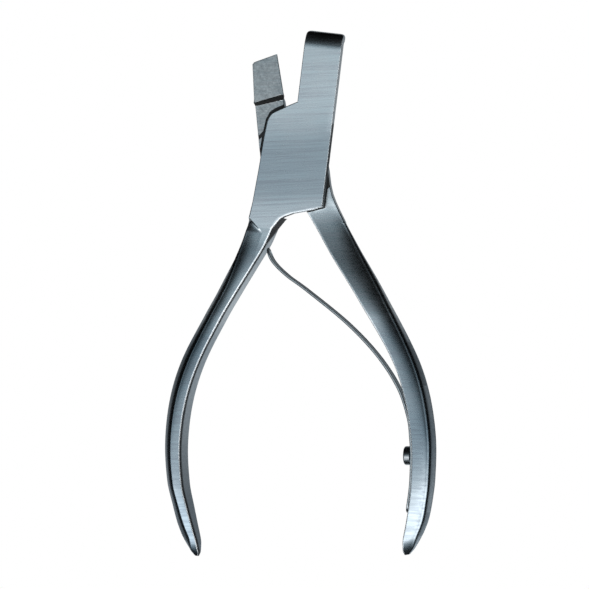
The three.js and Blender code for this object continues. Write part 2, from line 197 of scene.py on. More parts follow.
# Outlines from the throat to the neck, as [y, x] from the top. The back lever is drawn mirrored.
FRONT_LEFT = [
    (THROAT, 0.0), (THROAT - 1.3, -2.45), (THROAT - 2.4, -4.25), (THROAT - 3.4, -6.0),
    (THROAT - 4.1, -6.85), (THROAT - 5.8, -7.55), (4.9, -7.95), (-4.3, -8.4),
    (-HEEL - 1.1, -8.95), (-NECK, -FRONT_HANDLE[0][INNER] - FRONT_HANDLE[0][WIDTH]),
]
BACK_LEFT = [
    (UNDER_THROAT, 0.0), (12.9, -2.4), (12.2, -4.25), (11.3, -6.0), (10.6, -6.85), (9.2, -7.6),
    (4.9, -8.2), (-4.3, -8.95), (-8.6, -8.75), (-11.2, -8.9), (-13.4, -9.35), (-15.7, -10.0),
    (-NECK, -BACK_HANDLE[0][INNER] - BACK_HANDLE[0][WIDTH]),
]
FRONT_RIGHT = [
    (-HEEL, JAW_WIDTH), (-HEEL - 1.5, 6.6), (-HEEL - 2.8, 2.3), (-HEEL - 3.9, 0.1),
    (-HEEL - 4.7, -0.9), (-NECK, -FRONT_HANDLE[0][INNER]),
]
BACK_RIGHT = [
    (SHORT_JAW, 0.1 - OVERHANG), (SHORT_JAW - 1.0, 5.6), (SHORT_JAW - 1.5, 6.2),
    (STEP_TOP, 7.35), (15.4, 7.9), (6.8, 8.5), (-10.6, 9.6), (-12.0, 5.0), (-13.0, 1.5),
    (-14.1, -0.7), (-15.0, -1.45), (-NECK, -BACK_HANDLE[0][INNER]),
]


def handle_sides(rows, y):
    """Left and right sides of a handle at y, closed."""
    inner = smooth(rows, INNER, share(y))
    return -inner - smooth(rows, WIDTH, share(y)), -inner


def left_line(points, throat, y):
    """A lever's left side above the neck: straight above the throat, eased well below it."""
    if y > throat:
        return 0.0
    return eased(points, y) if y < throat - 1 else line(points, y)


def front_sides(y):
    """Left and right sides of the front lever at y, closed."""
    if y < -NECK:
        return handle_sides(FRONT_HANDLE, y)
    corner = rounding(TIP_CORNER, y - (LONG_JAW - TIP_CORNER))
    right = JAW_WIDTH if y > -HEEL else line(FRONT_RIGHT, y)
    return left_line(FRONT_LEFT, THROAT, y) + corner, right - corner


def back_sides(y):
    """Left and right sides of the back lever at y, closed and mirrored."""
    if y < -NECK:
        return handle_sides(BACK_HANDLE, y)
    over = OVERHANG * step(y, STEP_Y - 0.4, STEP_TOP)
    return left_line(BACK_LEFT, UNDER_THROAT, y) - over, line(BACK_RIGHT, y)


def front_lean(y):
    """The long jaw's closing wall is upright."""
    return 0.0


def back_lean(y):
    """How much further in the back edge of the short jaw's closing wall lies than its front edge."""
    return UNDERCUT * step(y, STEP_Y - 0.4, STEP_TOP)


def curve_down(rows, x, y, sides, start, power):
    """Fall of a handle's face between its ridge and its outer side, beyond the share `start`."""
    left, right = sides
    u = min(max((right - x) / (right - left), 0.0), 1.0)
    past = max(0.0, u - start) / max(1 - start, 0.02)
    return smooth(rows, DROP, max(share(y), 0.0)) * past ** power


# The plate's flat face ends on the front lever along a crisp slanting line.
SLANT_TOP = Vector((-9.1, -17.2))
SLANT_FOOT = Vector((-5.2, -20.7))
SLANT_FADE = 12.0       # length below its foot over which the flat runs out
CREASE_HIGH = 0.9       # depth of the step below that line, at the outer side
CREASE_LOW = 0.1        # and at the inner side
CREASE_WIDE = 0.5       # the step's width
CREASE_STARTS = 0.6     # length over which the step reaches its depth
# How sharply a face falls away: first, and what is added past the plate's flat and at the grip.
FRONT_POWER = (2.1, 0.9, 1.0)
BACK_POWER = (3.4, 0.6)     # first, and what is added at the grip
GRIP_FROM, GRIP_FULL = 0.45, 0.7        # shares of the handle over which the grip begins
PLATE_FALL = 0.6        # share of its fall that the face has beside the plate's flat


def grip(y):
    """Rises from 0 to 1 where the grip begins."""
    return step(share(y), GRIP_FROM, GRIP_FULL)


def front_edge(y):
    """Where the plate's flat face ends at y, and how much of it is left, from 1 on the plate to 0."""
    left, right = front_sides(y)
    if y > SLANT_FOOT.y:
        u = min(max((SLANT_TOP.y - y) / (SLANT_TOP.y - SLANT_FOOT.y), 0.0), 1.0)
        return max(SLANT_TOP.x + (SLANT_FOOT.x - SLANT_TOP.x) * u, left), 1.0
    held = 1 - step(-y, -SLANT_FOOT.y, -SLANT_FOOT.y + SLANT_FADE)
    return right - (right_at(SLANT_FOOT.y) - SLANT_FOOT.x) * held, held


def front_fall(x, y):
    """Fall of the front lever's faces at x, y."""
    if y > SLANT_TOP.y:
        return 0.0
    left, right = front_sides(y)
    edge, held = front_edge(y)
    start = min(max((right - edge) / (right - left), 0.0), 1.0)
    power = FRONT_POWER[0] + FRONT_POWER[1] * (1 - held) + FRONT_POWER[2] * grip(y)
    past = max(0.0, edge - x)
    along = min((SLANT_TOP.y - y) / (SLANT_TOP.y - SLANT_FOOT.y), 1.0)
    deep = CREASE_HIGH + (CREASE_LOW - CREASE_HIGH) * along
    begun = min((SLANT_TOP.y - y) / CREASE_STARTS, 1.0)
    crease = deep * held * (1 - math.exp(-past / CREASE_WIDE)) * begun
    part = PLATE_FALL + (1 - PLATE_FALL) * (1 - held)
    return crease + curve_down(FRONT_HANDLE, x, y, (left, right), start, power) * part


def right_at(y):
    """Right side of the front lever at y, closed."""
    return front_sides(y)[1]


def back_fall(x, y):
    """Fall of the back lever's faces at x, y."""
    start = 0.55 * (1 - step(-y, HEEL + 1, NECK + 12))
    power = BACK_POWER[0] + BACK_POWER[1] * grip(y)
    return curve_down(BACK_HANDLE, x, y, back_sides(y), start, power) * step(-y, HEEL + 1, NECK + 4)


def front_faces(y):
    """Heights of the front lever's front and back faces, as functions of x."""
    if y < -NECK:
        front, back = smooth(FRONT_HANDLE, FRONT, share(y)), smooth(FRONT_HANDLE, BACK, share(y))
        return (lambda x: LAP + front - front_fall(x, y), lambda x: LAP - back + front_fall(x, y))
    roll = rounding(TIP_ROLL, y - (LONG_JAW - TIP_ROLL_LONG), TIP_ROLL_LONG)
    lip = TIP_LIP * step(y, LONG_JAW - TIP_ROLL, LONG_JAW - TIP_ROLL + TIP_LIP)
    deep = FRONT_HANDLE[0][BACK] if y < -HEEL else -LAP_GAP / 2
    return (lambda x: FACE - roll - front_fall(x, y), lambda x: LAP - deep - lip)


# Distances below the pivot between which the back lever rises to its full depth.
RAMP_TOP, RAMP_FOOT = 14.0, 46.0


def ramp(y):
    """Depth of the back lever in front of the lap plane."""
    full = smooth(BACK_HANDLE, FRONT, max(share(y), 0.0)) + LAP_GAP / 2
    return full * step(-y, RAMP_TOP, RAMP_FOOT) - LAP_GAP / 2


def back_faces(y):
    """Heights of the back lever's front and back faces, as functions of x."""
    floor = LAP + ramp(y)
    if y < -NECK:
        back = smooth(BACK_HANDLE, BACK, share(y)) * step(-y, NECK, NECK + 5)
        back += LAP * (1 - step(-y, NECK, NECK + 5))
        return (lambda x: floor - back_fall(x, y), lambda x: LAP - back + back_fall(x, y))

    def front(x):
        low = STEP_Y - 0.04 * max(x, 0)
        high = STEP_TOP - 0.1 * max(x, 0)
        return floor + (FACE - floor) * min(max((y - low) / (high - low), 0.0), 1.0) - back_fall(x, y)

    return front, lambda x: 0.0


def section(y, sides_at, faces_at, lean_at, outer_side, crease_at=None):
    """One closed section across a lever: its two faces, its two walls and four rounded edges.
    Half of a face's points lie on each side of the crease, if there is one. A section too thin for
    its leaning wall ends where that wall meets the other one."""
    left, right = sides_at(y)
    near = 0.02
    slopes = [abs(a - b) / (2 * near) for a, b in zip(sides_at(y + near), sides_at(y - near))]
    blend = step(-y, HEEL, NECK + 4)
    outer = PLATE_EDGE + (CREASE - PLATE_EDGE) * blend
    inner = PLATE_EDGE + (RIDGE - PLATE_EDGE) * blend
    top, bottom = faces_at(y)
    width = right - left
    tall = top((left + right) / 2) - bottom((left + right) / 2)

    def edge(radius, slope):
        flat = min(radius * math.hypot(1, min(slope, 4.0)), 0.4 * width)
        return flat, min(radius, 0.3 * tall)

    edge_left, fall_left = edge(outer, slopes[0])
    edge_right, fall_right = edge(inner, slopes[1])
    held = step(share(y), OUTER_FROM, OUTER_FULL) * (1 - step(share(y), OUTER_GOES, 1.0))
    inset, corner, deep, bulge = [held * v for v in outer_side]
    bulge *= BULGE_FIRST + (1 - BULGE_FIRST) * step(share(y), BULGE_FROM, BULGE_FULL)
    sloped = math.atan2(outer_side[2], outer_side[0] - outer_side[1])
    bend = math.pi / 2 + (sloped - math.pi / 2) * held
    start, end = left + inset + edge_left * math.sin(bend), right - edge_right
    half = FACE_CUTS // 2
    margin = 0.06 * (end - start)
    turn = min(max(crease_at(y)[0], start + margin), end - margin) if crease_at else (start + end) / 2
    across = [start + (turn - start) * i / half for i in range(half)]
    across += [turn + (end - turn) * i / half for i in range(half + 1)]
    arc = [math.pi / 2 * k / ARC_CUTS for k in range(ARC_CUTS + 1)]
    over = [(x, top(x)) for x in across]
    over += [(end + edge_right * math.sin(a), top(end) - fall_right * (1 - math.cos(a))) for a in arc[1:]]
    high, low = top(end) - fall_right, bottom(end) + fall_right
    over += [(right, high + (low - high) * k / WALL_CUTS) for k in range(1, WALL_CUTS)]
    under = [(end + edge_right * math.cos(a), bottom(end) + fall_right * (1 - math.sin(a)))
             for a in arc[:-1]]
    under += [(x, bottom(x)) for x in reversed(across)]
    bends = [(edge_left * math.sin(bend * k / ARC_CUTS), fall_left * (1 - math.cos(bend * k / ARC_CUTS)))
             for k in range(1, ARC_CUTS + 1)]
    under += [(start - out, bottom(start) + down) for out, down in bends]
    under.append((left + corner, under[-1][1] + deep))
    rise = [(start - out, top(start) - down) for out, down in reversed(bends)]
    rise.insert(0, (left + corner, rise[0][1] - deep))
    lean = max(lean_at(y), 1e-6)
    kept = min(max(width - 0.05, 0.03) / lean, 1.0)
    under = [(x + kept * lean * (right - x) / width, z) for x, z in under]
    halfway = ((under[-1][0] + rise[0][0]) / 2 - corner - bulge, (under[-1][1] + rise[0][1]) / 2)
    rise.insert(0, halfway)
    face = max(z for _, z in over)
    return [Vector((x, y, face + (z - face) * kept)) * MM for x, z in over + under + rise]


def loft(sections):
    """A closed body: the first section is extruded from one station to the next, and both ends are
    filled."""
    bm = bmesh.new()
    first = [bm.verts.new(p) for p in sections[0]]
    ring = [bm.edges.new((a, b)) for a, b in zip(first, first[1:] + first[:1])]
    bm.faces.new(first)
    verts = first
    for points in sections[1:]:
        made = bmesh.ops.extrude_edge_only(bm, edges=ring)["geom"]
        fresh = {v for v in made if isinstance(v, bmesh.types.BMVert)}
        verts = [next(e.other_vert(v) for e in v.link_edges if e.other_vert(v) in fresh) for v in verts]
        for v, p in zip(verts, points):
            v.co = p
        ring = [bm.edges.get((a, b)) for a, b in zip(verts, verts[1:] + verts[:1])]
    bm.faces.new(list(reversed(verts)))
    bmesh.ops.remove_doubles(bm, verts=bm.verts, dist=1e-7)
    bmesh.ops.recalc_face_normals(bm, faces=bm.faces)
    return bm


def finished(name, bm):
    """The mesh as an object in the scene."""
    mesh = bpy.data.meshes.new(name)
    bm.to_mesh(mesh)
    bm.free()
    obj = bpy.data.objects.new(name, mesh)
    bpy.context.scene.collection.objects.link(obj)
    return obj


def combine(obj, tool_bm, operation):
    """Joins or cuts obj with a closed tool, for good."""
    tool = finished(obj.name + "_tool", tool_bm)
    change = obj.modifiers.new("joined", "BOOLEAN")
    change.operation = operation
    change.solver = "EXACT"
    change.object = tool
    depsgraph = bpy.context.evaluated_depsgraph_get()
    mesh = bpy.data.meshes.new_from_object(obj.evaluated_get(depsgraph))
    obj.modifiers.clear()
    old = obj.data
    obj.data = mesh
    bpy.data.meshes.remove(old)
    bpy.data.objects.remove(tool)


def turned(profile, cuts=ROUND_CUTS):
    """A round body about Z through (radius, height) points from one end of the axis to the other."""
    bm = bmesh.new()
    verts = [bm.verts.new(Vector((r, 0, z)) * MM) for r, z in profile]
    edges = [bm.edges.new(pair) for pair in zip(verts, verts[1:])]
    bmesh.ops.spin(bm, geom=verts + edges, cent=(0, 0, 0), axis=(0, 0, 1), angle=math.tau,
                   steps=cuts, use_merge=True)
    bmesh.ops.remove_doubles(bm, verts=bm.verts, dist=1e-7)
    bmesh.ops.recalc_face_normals(bm, faces=bm.faces)
    return bm


def shade(obj, angle=32):
    """Smooth shading that keeps sharp edges, with large faces left truly flat."""
    bm = bmesh.new()
    bm.from_mesh(obj.data)
    for face in bm.faces:
        face.smooth = True
    for e in bm.edges:
        e.smooth = len(e.link_faces) == 2 and e.calc_face_angle(0) < math.radians(angle)
    bm.to_mesh(obj.data)
    bm.free()
    weighted = obj.modifiers.new("flat faces", "WEIGHTED_NORMAL")
    weighted.keep_sharp = True
    weighted.weight = 80


def place(obj, turn, mirror=False):
    """Puts a mesh drawn closed into its open place, keeping its faces outwards."""
    matrix = Matrix.Rotation(turn, 4, "Z")
    if mirror:
        matrix = matrix @ Matrix.Scale(-1, 4, (1, 0, 0))
    bm = bmesh.new()
    bm.from_mesh(obj.data)
    bmesh.ops.transform(bm, matrix=matrix, verts=bm.verts)
    if mirror:
        bmesh.ops.reverse_faces(bm, faces=bm.faces)
    bm.to_mesh(obj.data)
    bm.free()


def rivet_profile(extra=0.0, over=0.0):
    """The rivet from below to above, or a hole that clears it and runs past both faces."""
    head, shank, cone = RIVET_HEAD + extra, RIVET_SHANK + extra, RIVET_HEAD - RIVET_SHANK
    rows = [(0, -over), (head, -over), (head, 0), (shank, cone), (shank, FACE - cone), (head, FACE),
            (head, FACE + over), (0, FACE + over)]
    return [row for i, row in enumerate(rows) if i == 0 or row != rows[i - 1]]


def stations(top, close, special):
    """Heights of a lever's sections, near each other where its outline turns."""
    heights = set(special)
    y = top
    while y > -NECK:
        heights.add(round(y, 3))
        y -= FINE_STEP if any(low < y < high for low, high in close) else PLAIN_STEP
    kept = []
    for y in sorted((h for h in heights if -NECK < h <= top), reverse=True):
        if not kept or kept[-1] - y > 0.03:
            kept.append(y)
    for i in range(HANDLE_CUTS + 1):
        u = i / HANDLE_CUTS
        kept.append(-NECK - HANDLE * u * (0.5 + u - 0.5 * u * u))
    return kept


def disc(radius, low, high):
    """A round block about Z."""
    return turned([(0, low), (radius, low), (radius, high), (0, high)])


def slab(outline, low, high):
    """An upright block over a plan outline."""
    bm = bmesh.new()
    verts = [bm.verts.new(Vector((x, y, low)) * MM) for x, y in outline]
    face = bm.faces.new(verts)
    made = bmesh.ops.extrude_face_region(bm, geom=[face])["geom"]
    lifted = [v for v in made if isinstance(v, bmesh.types.BMVert)]
    bmesh.ops.translate(bm, vec=Vector((0, 0, high - low)) * MM, verts=lifted)
    bmesh.ops.recalc_face_normals(bm, faces=bm.faces)
    return bm


def inside(outline, x, y):
    """Whether x, y lies within a plan outline."""
    within = False
    for (x0, y0), (x1, y1) in zip(outline, outline[1:] + outline[:1]):
        if (y0 > y) != (y1 > y) and x < x0 + (x1 - x0) * (y - y0) / (y1 - y0):
            within = not within
    return within


def seat_outline():
    """Edge of the milled seat in the back lever, drawn round the open front plate."""
    side = [Vector((x, y)) for y, x in [(LONG_JAW / 2, 0.0), *FRONT_LEFT[:9]]]
    edge = []
    for before, here, after in zip([side[0], *side], side, [*side[1:], side[-1]]):
        along = (after - before).normalized()
        edge.append(here + Vector((along.y, -along.x)) * SEAT_MARGIN)
    edge += [Vector(p) for p in [(-4.0, -HEEL - 1.1), (2.3, -HEEL - 3.1), (6.6, -HEEL - 1.8)]]
    slim = 0.3
    edge += [Vector(p) for p in [(JAW_WIDTH + slim, -HEEL - slim), (JAW_WIDTH + slim, LONG_JAW / 2)]]
    return [tuple(rotated(p, -HALF_OPEN)) for p in edge]


def paint(obj, turn, mirror, rule):
    """Stores each corner's painted shade, its pale edge paint for wear and a painted highlight, and how
    coarse its face is. The rule gets points and normals as drawn closed."""
    upright = Matrix.Rotation(-turn, 3, "Z")
    flip = -1 if mirror else 1

    def drawn(v):
        p = upright @ v
        return Vector((flip * p.x, p.y, p.z))

    mesh = obj.data
    dark = mesh.attributes.new("dark", "FLOAT", "CORNER")
    worn_sheen = mesh.attributes.new("worn_sheen", "FLOAT", "CORNER")
    coarse = mesh.attributes.new("coarse", "FLOAT", "CORNER")
    for face in mesh.polygons:
        centre, normal = drawn(face.center) / MM, drawn(face.normal)
        for i in face.loop_indices:
            corner = drawn(mesh.vertices[mesh.loops[i].vertex_index].co) / MM
            dark.data[i].value, worn_sheen.data[i].value, coarse.data[i].value = rule(centre, normal, corner)


def edge_wear_and_sheen(normal):
    """Wear and a painted highlight on the narrow rounded edges along a lever's inner side, away from its
    flat faces.
    """
    return 1.0 if 0.3 < normal.z < 0.97 and normal.x > 0.2 else 0.0


RIDGE_LINE = 0.96       # how dark the painted shade line under a handle's inner ridge is
RIDGE_LINE_LOW = 1.3    # how far down it starts to fade, and where it ends
RIDGE_LINE_END = 2.3
WALL_LINE = 0.8         # how dark the painted shade on the plate's right wall is


def front_painted_shade(centre, normal, corner):
    """Painted shade: a dark line under the handle's inner ridge, wide at the heel, and along the plate's
    right wall.
    """
    # painted shade under the inner ridge, by depth below the face
    if corner.y < -HEEL - 1.4 and normal.x > 0.3 and abs(normal.z) < 0.5:
        down = front_faces(corner.y)[0](right_at(corner.y)) - corner.z
        wide = 1 - step(-corner.y, NECK - 1.5, NECK + 5)
        shown = 1 - step(down, RIDGE_LINE_LOW + 5 * wide, RIDGE_LINE_END + 8 * wide)
        return RIDGE_LINE * step(down, 0.1, 0.35) * shown, 0.0, 0.0
    # painted shade on the plate's right wall
    if -HEEL - 0.5 < centre.y < JAW_WIDTH and normal.x > 0.6 and centre.x > JAW_WIDTH - 0.5:
        return WALL_LINE, 0.0, 0.0
    return 0.0, edge_wear_and_sheen(normal), 0.0


def back_painted_shade(centre, normal, corner):
    """Painted shade in the root of the short jaw's step, painted shadow of the front plate in the milled
    seat, and the coarse faces above it.
    """
    # painted shade: the short jaw's step wall, black as a deep groove
    if STEP_Y - 0.6 < centre.y < STEP_TOP + 0.03 and normal.y < -0.3 and centre.z > LAP - 0.2:
        return 1.0, 0.0, 0.0
    # painted shadow: the milled seat beside the front plate's edge
    placed = rotated(Vector((-centre.x, centre.y)), HALF_OPEN)
    milled = any(inside(outline, placed.x, placed.y) for outline in [SEAT_EDGE, *SEAT_NOTCHES])
    if milled and LAP - SEAT_DEPTH - 0.05 < centre.z < LAP - 0.1:
        return 0.97, 0.0, 0.0
    if centre.y > UNDER_THROAT - 8 and normal.z > 0.9:
        return 0.0, 0.0, 1.0
    return 0.0, edge_wear_and_sheen(normal), 0.0


def rotated(point, angle):
    """A plan point turned about the pivot."""
    c, s = math.cos(angle), math.sin(angle)
    return Vector((c * point.x - s * point.y, s * point.x + c * point.y))


SEAT_EDGE = seat_outline()
# Two more places on the open back lever, milled to the same depth and given the same painted shadow.
SEAT_NOTCHES = [
    [(-10.4, 4.4), (-10.4, 5.3), (-7.4, 8.0), (-5.5, 7.6), (-5.5, 6.4), (-7.2, 6.6)],
    [(7.0, -1.0), (12.4, -1.0), (11.6, -6.3), (8.9, -9.0), (7.0, -9.0)],
]


def front_lever():
    """Long jaw with its rolled tip, lap plate and left handle."""
    tip = LONG_JAW - TIP_ROLL_LONG
    rolls = [tip + TIP_ROLL_LONG * math.sin(math.pi / 2 * k / 16) for k in range(17)]
    close = [(THROAT - 7, THROAT + 0.6), (-NECK, -HEEL + 0.5)]
    special = [*rolls, THROAT + 0.02, THROAT - 0.02, -HEEL + 0.02, -HEEL - 0.02]
    rings = [section(y, front_sides, front_faces, front_lean, FRONT_OUTER, front_edge)
             for y in stations(LONG_JAW, close, special)]
    obj = finished("front_lever_steel", loft(rings))
    combine(obj, disc(SWING, -FACE, LAP + LAP_GAP / 2), "DIFFERENCE")
    combine(obj, turned(rivet_profile(0.01, 1.0)), "DIFFERENCE")
    shade(obj)
    place(obj, -HALF_OPEN)
    paint(obj, -HALF_OPEN, False, front_painted_shade)
    return obj


def back_lever():
    """Short jaw block, under plate with the milled seat, and right handle."""
    rises = [STEP_Y - 0.5 + 0.06 * k for k in range(29)]
    tops = [SHORT_JAW - 1.6 * k / 12 for k in range(13)]
    close = [(UNDER_THROAT - 5, STEP_TOP + 0.6), (-NECK, -HEEL + 2)]
    special = [*rises, *tops, UNDER_THROAT + 0.02, UNDER_THROAT - 0.02, -HEEL + 0.02, -HEEL - 0.02]
    rings = [section(y, back_sides, back_faces, back_lean, BACK_OUTER)
             for y in stations(SHORT_JAW, close, special)]
    obj = finished("back_lever_steel", loft(rings))
    place(obj, HALF_OPEN, mirror=True)
    for outline in [SEAT_EDGE, *SEAT_NOTCHES]:
        combine(obj, slab(outline, LAP - SEAT_DEPTH, LAP + 0.6), "DIFFERENCE")
    combine(obj, turned(rivet_profile(0.01, 1.0)), "DIFFERENCE")
    shade(obj)
    paint(obj, HALF_OPEN, True, back_painted_shade)
    return obj


def pivot_rivet():
    """The rivet, flush with both faces, with a countersunk head at each end."""
    obj = finished("pivot_rivet_steel", turned(rivet_profile()))
    shade(obj)
    return obj


# The leaf spring and its screw.
SPRING_T = 0.6
SPRING_ROOT_W = 4.0
SPRING_TIP_W = 3.4
SPRING_GAP = 0.3
SPRING_END = 0.88
SPRING_LEAVES = 0.6
SPRING_TOUCHES = 0.056
SPRING_ROUND = 2.2      # hundredths of its length over which each end is rounded
SPRING_SOFT = 0.14      # bevel along its edges
SPRING_CUTS = 150
SCREW_AT = 0.715
SCREW_HEAD = 2.5
SCREW_TALL = 1.95
SCREW_SHANK = 1.2
SCREW_FOOT = 2.4        # how far its shank goes into the handle
SCREW_SOFT = 0.5        # radius of its head's upper edge
SCREW_SLOT = 0.6
SCREW_CUTS = 64
# The leaf's bow between the handles: share of the way across, and height off the straight line.
BOW = [(0.13, -3.0), (0.3, -4.25), (0.5, -3.55), (0.73, -0.95), (0.85, 0.75), (0.94, 1.15)]


def wall(t, side):
    """A point on a handle's inner wall, closed, and the normal towards the other handle."""
    rows = BACK_HANDLE if side > 0 else FRONT_HANDLE

    def point(u):
        return Vector((side * smooth(rows, INNER, u), -NECK - HANDLE * u))
    nudge = 0.01
    along = (point(t + nudge) - point(t - nudge)).normalized()
    return point(t), Vector((along.y, -along.x)) * side


def off_wall(t, side, distance):
    """A point at a distance from a handle's inner wall."""
    point, normal = wall(t, side)
    return point + normal * distance


def spring_points():
    """The leaf's middle line at rest, from its seat on the right handle to its tip."""
    off = SPRING_GAP + SPRING_T / 2
    seats = (SPRING_END, 0.8, SCREW_AT, 0.66, SPRING_LEAVES)
    points = [rotated(off_wall(t, 1, off), HALF_OPEN) for t in seats]
    start = points[-1]
    end = rotated(off_wall(SPRING_TOUCHES, -1, off), -HALF_OPEN)
    across = end - start
    aside = Vector((-across.y, across.x)).normalized()
    points += [start + across * u + aside * d for u, d in BOW]
    points.append(end)
    return points, start, end


def spline(points, cuts):
    """Even points on a smooth line through the given ones, with the direction at each."""
    fine = []
    for i in range(len(points) - 1):
        p0, p1 = points[max(i - 1, 0)], points[i]
        p2, p3 = points[i + 1], points[min(i + 2, len(points) - 1)]
        for k in range(24):
            u = k / 24
            fine.append(0.5 * (2 * p1 + (p2 - p0) * u + (2 * p0 - 5 * p1 + 4 * p2 - p3) * u ** 2
                               + (3 * p1 - p0 - 3 * p2 + p3) * u ** 3))
    fine.append(points[-1])
    lengths = [0.0]
    for a, b in zip(fine, fine[1:]):
        lengths.append(lengths[-1] + (b - a).length)
    out, i = [], 0
    for k in range(cuts + 1):
        want = lengths[-1] * k / cuts
        while i < len(fine) - 2 and lengths[i + 1] < want:
            i += 1
        u = (want - lengths[i]) / (lengths[i + 1] - lengths[i])
        out.append((fine[i].lerp(fine[i + 1], u), (fine[i + 1] - fine[i]).normalized(), k / cuts))
    return out


def leaf_spring():
    """A flat leaf with rounded edges and a rounded end, bent along its line."""
    points, start, end = spring_points()
    rings = []
    for centre, along, u in spline(points, SPRING_CUTS):
        aside = Vector((-along.y, along.x))
        half = (SPRING_ROOT_W + (SPRING_TIP_W - SPRING_ROOT_W) * u) / 2
        ends = min(u, 1 - u) * 100
        half *= math.sqrt(max(1 - (1 - min(ends / SPRING_ROUND, 1)) ** 2, 0.03))
        ring = []
        for a, b in [(-1, 1), (1, 1), (1, -1), (-1, -1)]:
            corners = [(0, SPRING_SOFT), (SPRING_SOFT, 0)]
            for down, inwards in corners if a * b < 0 else reversed(corners):
                out = aside * a * (SPRING_T / 2 - inwards)
                ring.append(Vector((centre.x + out.x, centre.y + out.y, LAP + b * (half - down))) * MM)
        rings.append(ring)
    obj = finished("leaf_spring_steel", loft(rings))
    shade(obj, 50)
    return obj, start, end


def screw_place():
    """Where the screw stands: on the back lever's inner wall, pointing away from it."""
    point, normal = wall(SCREW_AT, 1)
    point, normal = rotated(point, HALF_OPEN), rotated(normal, HALF_OPEN)
    turn = Vector((0, 0, 1)).rotation_difference(Vector((normal.x, normal.y, 0))).to_matrix().to_4x4()
    return Matrix.Translation(Vector((point.x, point.y, LAP)) * MM) @ turn


def spring_screw():
    """A cheese-head screw with a soft crown and a driver slot."""
    seat = SPRING_GAP + SPRING_T + 0.02
    top = seat + SCREW_TALL
    soft = SCREW_SOFT
    crown = [(SCREW_HEAD - soft + soft * math.cos(a), top - soft - 0.15 + soft * math.sin(a))
             for a in (0, 0.4, 0.8, 1.2)]
    profile = [(0, -SCREW_FOOT), (SCREW_SHANK, -SCREW_FOOT), (SCREW_SHANK, seat), (SCREW_HEAD - 0.12, seat),
               (SCREW_HEAD, seat + 0.12), *crown, (1.2, top - 0.06), (0.6, top - 0.01), (0, top)]
    obj = finished("spring_screw_steel", turned(profile, SCREW_CUTS))
    slot = bmesh.new()
    bmesh.ops.create_cube(slot, size=1)
    bmesh.ops.scale(slot, vec=Vector((SCREW_SLOT, 3 * SCREW_HEAD, 2 * SCREW_SLOT)) * MM, verts=slot.verts)
    bmesh.ops.translate(slot, vec=Vector((0, 0, top)) * MM, verts=slot.verts)
    combine(obj, slot, "DIFFERENCE")
    shade(obj, 40)
    bm = bmesh.new()
    bm.from_mesh(obj.data)
    bmesh.ops.transform(bm, matrix=screw_place(), verts=bm.verts)
    bm.to_mesh(obj.data)
    bm.free()
    return obj


# ---- shared effects ----

def new_group(name, inputs, outputs):
    """A node group with named inputs and outputs, and the calls that fill it."""
    group = bpy.data.node_groups.new(name, "ShaderNodeTree")
    for label, kind, value in inputs:
        socket = group.interface.new_socket(label, in_out="INPUT", socket_type=kind)
        if value is not None:
            socket.default_value = value
    for label, kind in outputs:
        group.interface.new_socket(label, in_out="OUTPUT", socket_type=kind)
    return group, Nodes(group)


class Nodes:
    """Short calls that add and join nodes in one tree."""

    def __init__(self, tree):
        self.tree = tree

    def add(self, kind, **sockets):
        node = self.tree.nodes.new(kind)
        for key, value in sockets.items():
            if key in node.inputs:
                self.feed(node.inputs[key], value)
            else:
                setattr(node, key, value)
        return node

    def feed(self, socket, value):
        if isinstance(value, bpy.types.NodeSocket):
            self.tree.links.new(value, socket)
        else:
            socket.default_value = value

    def math(self, operation, a, b=0.0, c=0.0):
        node = self.tree.nodes.new("ShaderNodeMath")
        node.operation = operation
        for socket, value in zip(node.inputs, (a, b, c)):
            self.feed(socket, value)
        return node.outputs[0]

    def noise(self, vector, scale, detail=2.0, roughness=0.5):
        node = self.tree.nodes.new("ShaderNodeTexNoise")
        self.feed(node.inputs["Vector"], vector)
        node.inputs["Scale"].default_value = scale
        node.inputs["Detail"].default_value = detail
        node.inputs["Roughness"].default_value = roughness
        return node.outputs["Fac"]

    def mapped(self, vector, scale=(1, 1, 1), turn=(0, 0, 0), shift=(0, 0, 0)):
        node = self.tree.nodes.new("ShaderNodeMapping")
        self.feed(node.inputs["Vector"], vector)
        node.inputs["Scale"].default_value = scale
        node.inputs["Rotation"].default_value = turn
        node.inputs["Location"].default_value = shift
        return node.outputs[0]

    def spread(self, value, low, high, to_low=0.0, to_high=1.0):
        node = self.tree.nodes.new("ShaderNodeMapRange")
        for socket, v in zip(node.inputs, (value, low, high, to_low, to_high)):
            self.feed(socket, v)
        return node.outputs[0]

    def mix(self, factor, a, b, blend="MIX"):
        node = self.tree.nodes.new("ShaderNodeMix")
        node.data_type = "RGBA"
        node.blend_type = blend
        for socket, v in zip((node.inputs[0], node.inputs[6], node.inputs[7]), (factor, a, b)):
            self.feed(socket, v)
        return node.outputs[2]


def brushed_group():
    """Fine parallel grinding lines: height and tone, from a position whose X runs along the lines."""
    group, n = new_group(
        "brushed_lines",
        [("Position", "NodeSocketVector", None), ("Fineness", "NodeSocketFloat", 1.0)],
        [("Height", "NodeSocketFloat"), ("Tone", "NodeSocketFloat")])
    start, end = n.add("NodeGroupInput"), n.add("NodeGroupOutput")
    sized = n.add("ShaderNodeVectorMath", operation="SCALE")
    n.feed(sized.inputs[0], start.outputs["Position"])
    n.feed(sized.inputs["Scale"], start.outputs["Fineness"])
    long_lines = n.noise(n.mapped(sized.outputs[0], (90, 5200, 5200)), 1.0, 3, 0.6)
    short_lines = n.noise(n.mapped(sized.outputs[0], (420, 9000, 9000), shift=(3, 5, 1)), 1.0, 2, 0.5)
    bands = n.noise(n.mapped(sized.outputs[0], (55, 1700, 1700), shift=(7, 2, 4)), 1.0, 2, 0.5)
    height = n.math("MULTIPLY_ADD", short_lines, 0.4, n.math("MULTIPLY", long_lines, 0.6))
    tone = n.math("MULTIPLY_ADD", bands, 0.75, n.math("MULTIPLY", long_lines, 0.25))
    n.feed(end.inputs["Height"], height)
    n.feed(end.inputs["Tone"], tone)
    return group


